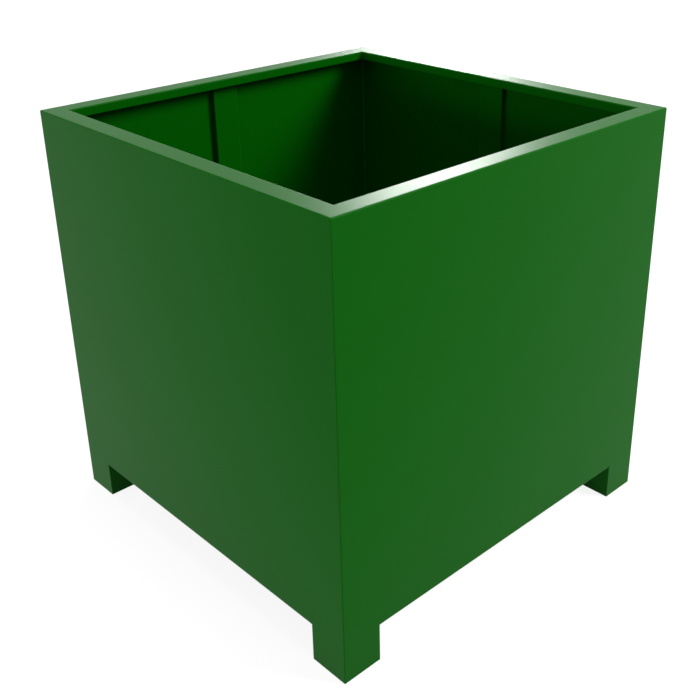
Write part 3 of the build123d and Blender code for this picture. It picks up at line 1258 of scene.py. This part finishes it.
@dataclass
class Planter:
    """The whole planter, sub-assembly by sub-assembly."""

    sheet_coat: PowderCoat = PowderCoat("sheet_coat")
    weld_coat: PowderCoat = PowderCoat("weld_coat", roughness=0.34, dimple_height=0.03 * MM, wear_and_highlight=0.0)
    base_coat: PowderCoat = PowderCoat("base_coat", roughness=0.4, dust=0.22)

    def build(self, shop: Workshop) -> None:
        """Makes all the pieces.

        Args:
            shop: Where they are made.
        """
        for side in Side:
            WallPanel(side, self.sheet_coat).build(shop)
            Channel(self.sheet_coat).stiffener(shop, side)
        for number in (1, 2, 3):
            Channel(self.sheet_coat).support(shop, number)
        for corner in Corner:
            Foot(corner, self.sheet_coat).build(shop)
        BasePlate(self.base_coat).build(shop)
        Welds(self.weld_coat).build(shop)


@dataclass(frozen=True)
class AreaLamp:
    """A flat soft lamp that faces a point."""

    name: str
    place: tuple[float, float, float]
    target: tuple[float, float, float]
    width: float
    height: float
    brightness: float

    def build(self) -> None:
        """Makes the lamp. Its power is its brightness times pi times its area."""
        lamp = bpy.data.lights.new(self.name, "AREA")
        lamp.shape = "RECTANGLE"
        lamp.size, lamp.size_y = self.width, self.height
        lamp.energy = self.brightness * math.pi * self.width * self.height
        made = bpy.data.objects.new(self.name, lamp)
        bpy.context.scene.collection.objects.link(made)
        made.location = self.place
        made.rotation_euler = (Vector(self.target) - Vector(self.place)).to_track_quat("-Z", "Y").to_euler()


@dataclass(frozen=True)
class Studio:
    """White floor, soft lamps and even light from all round."""

    floor_reach: float = 40.0
    floor_white: float = 0.6
    floor_glow: float = 0.88
    floor_shade: float = 0.5
    ambient: float = 0.25
    lamps: tuple[AreaLamp, ...] = (
        AreaLamp("key_lamp", (4.0, 3.15, 4.2), (0.0, 0.0, 1.0), 2.4, 2.4, 14.5),
        AreaLamp("overhead_lamp", (0.0, 0.0, 7.5), (0.0, 0.0, 1.0), 1.8, 1.8, 12.5),
        AreaLamp("front_lamp", (-2.0, -7.5, 1.5), (0.0, -0.5, 0.6), 4.0, 1.2, 11.0),
        AreaLamp("back_lamp", (-9.4, 10.25, 5.4), (0.0, 0.0, 1.0), 2.2, 2.6, 36.0),
    )

    def build(self) -> None:
        """Makes the floor, the lamps and the surrounding light."""
        self.build_floor()
        self.build_surround()
        for lamp in self.lamps:
            lamp.build()

    def build_floor(self) -> None:
        """Lays the floor just under the planter, so that no two faces share a height."""
        reach, drop = self.floor_reach, 0.2 * MM
        steps = np.linspace(-reach, reach, 9)
        x, y = np.meshgrid(steps, steps, indexing="ij")
        points = np.stack([x, y, np.full_like(x, -drop)], axis=-1).reshape(-1, 3)
        mesh = bpy.data.meshes.new("studio_floor")
        mesh.from_pydata(points.tolist(), [], grid_faces(len(steps), len(steps)).tolist())
        mesh.materials.append(self.floor_material())
        floor = bpy.data.objects.new("studio_floor", mesh)
        bpy.context.scene.collection.objects.link(floor)

    def floor_material(self) -> bpy.types.Material:
        """Paints the floor white: plain to the light, and glowing to the eye and in reflections."""
        material = bpy.data.materials.new("studio_white")
        material.use_nodes = True
        material.node_tree.nodes.clear()
        bench = NodeBench(material.node_tree)
        white = (self.floor_white,) * 3
        shade = tuple(self.floor_white * self.floor_shade for _ in range(3))
        plain = bench.add("ShaderNodeBsdfDiffuse", Color=(*white, 1.0))
        shaded = bench.add("ShaderNodeBsdfDiffuse", Color=(*shade, 1.0))
        glow = bench.add("ShaderNodeEmission", Color=(1.0, 1.0, 1.0, 1.0), Strength=self.floor_glow)
        seen = bench.add("ShaderNodeAddShader")
        bench.feed(seen.inputs[0], shaded.outputs[0])
        bench.feed(seen.inputs[1], glow.outputs[0])
        mix = bench.add("ShaderNodeMixShader", Fac=self.seen_directly(bench))
        bench.feed(mix.inputs[1], plain.outputs[0])
        bench.feed(mix.inputs[2], seen.outputs[0])
        bench.add("ShaderNodeOutputMaterial", Surface=mix.outputs[0])
        return material

    def seen_directly(self, bench: NodeBench) -> bpy.types.NodeSocket:
        """Gives one for what the eye sees, directly, in a gloss or through glass."""
        path = bench.add("ShaderNodeLightPath")
        gloss = bench.maths("MAXIMUM", path.outputs["Is Camera Ray"], path.outputs["Is Glossy Ray"])
        return bench.maths("MAXIMUM", gloss, path.outputs["Is Transmission Ray"])

    def build_surround(self) -> None:
        """Sets the light from all round, and white behind the floor."""
        world = bpy.data.worlds.new("studio_surround")
        bpy.context.scene.world = world
        world.use_nodes = True
        world.node_tree.nodes.clear()
        bench = NodeBench(world.node_tree)
        soft = bench.add("ShaderNodeBackground", Color=(1.0, 1.0, 1.0, 1.0), Strength=self.ambient)
        white = bench.add("ShaderNodeBackground", Color=(1.0, 1.0, 1.0, 1.0), Strength=1.0)
        mix = bench.add("ShaderNodeMixShader", Fac=self.seen_directly(bench))
        bench.feed(mix.inputs[1], soft.outputs[0])
        bench.feed(mix.inputs[2], white.outputs[0])
        bench.add("ShaderNodeOutputWorld", Surface=mix.outputs[0])


@dataclass(frozen=True)
class Viewpoint:
    """The camera: where it stands, which way it looks and its lens."""

    place: tuple[float, float, float] = (1.6873, -1.5187, 1.5805)
    azimuth: float = 46.473
    elevation: float = 23.842
    roll: float = -0.617
    lens: float = 52.786
    shift_x: float = -0.0429
    shift_y: float = -0.1

    def build(self) -> None:
        """Makes the camera and gives it to the scene.

        It looks down by the elevation, towards the front turned left by the azimuth. Its right and
        its up are then turned together by the roll.
        """
        turn, drop, roll = (math.radians(a) for a in (self.azimuth, self.elevation, self.roll))
        ahead = Vector((-math.sin(turn) * math.cos(drop), math.cos(turn) * math.cos(drop), -math.sin(drop)))
        right = ahead.cross(Vector((0.0, 0.0, 1.0))).normalized()
        up = right.cross(ahead)
        rolled_right = right * math.cos(roll) + up * math.sin(roll)
        rolled_up = up * math.cos(roll) - right * math.sin(roll)
        lens = bpy.data.cameras.new("viewpoint")
        lens.lens = self.lens
        lens.shift_x, lens.shift_y = self.shift_x, self.shift_y
        camera = bpy.data.objects.new("viewpoint", lens)
        bpy.context.scene.collection.objects.link(camera)
        axes = Matrix((rolled_right, rolled_up, -ahead)).transposed().to_4x4()
        camera.matrix_world = Matrix.Translation(Vector(self.place)) @ axes
        bpy.context.scene.camera = camera


def main() -> None:
    """Builds the planter, the studio and the camera in order."""
    logging.basicConfig(level=logging.INFO, format="%(message)s")
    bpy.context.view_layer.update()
    Planter().build(Workshop(Sizes()))
    Studio().build()
    Viewpoint().build()
    bpy.context.scene.view_settings.view_transform = "Standard"
    bpy.context.view_layer.update()


if __name__ == "__main__":
    main()
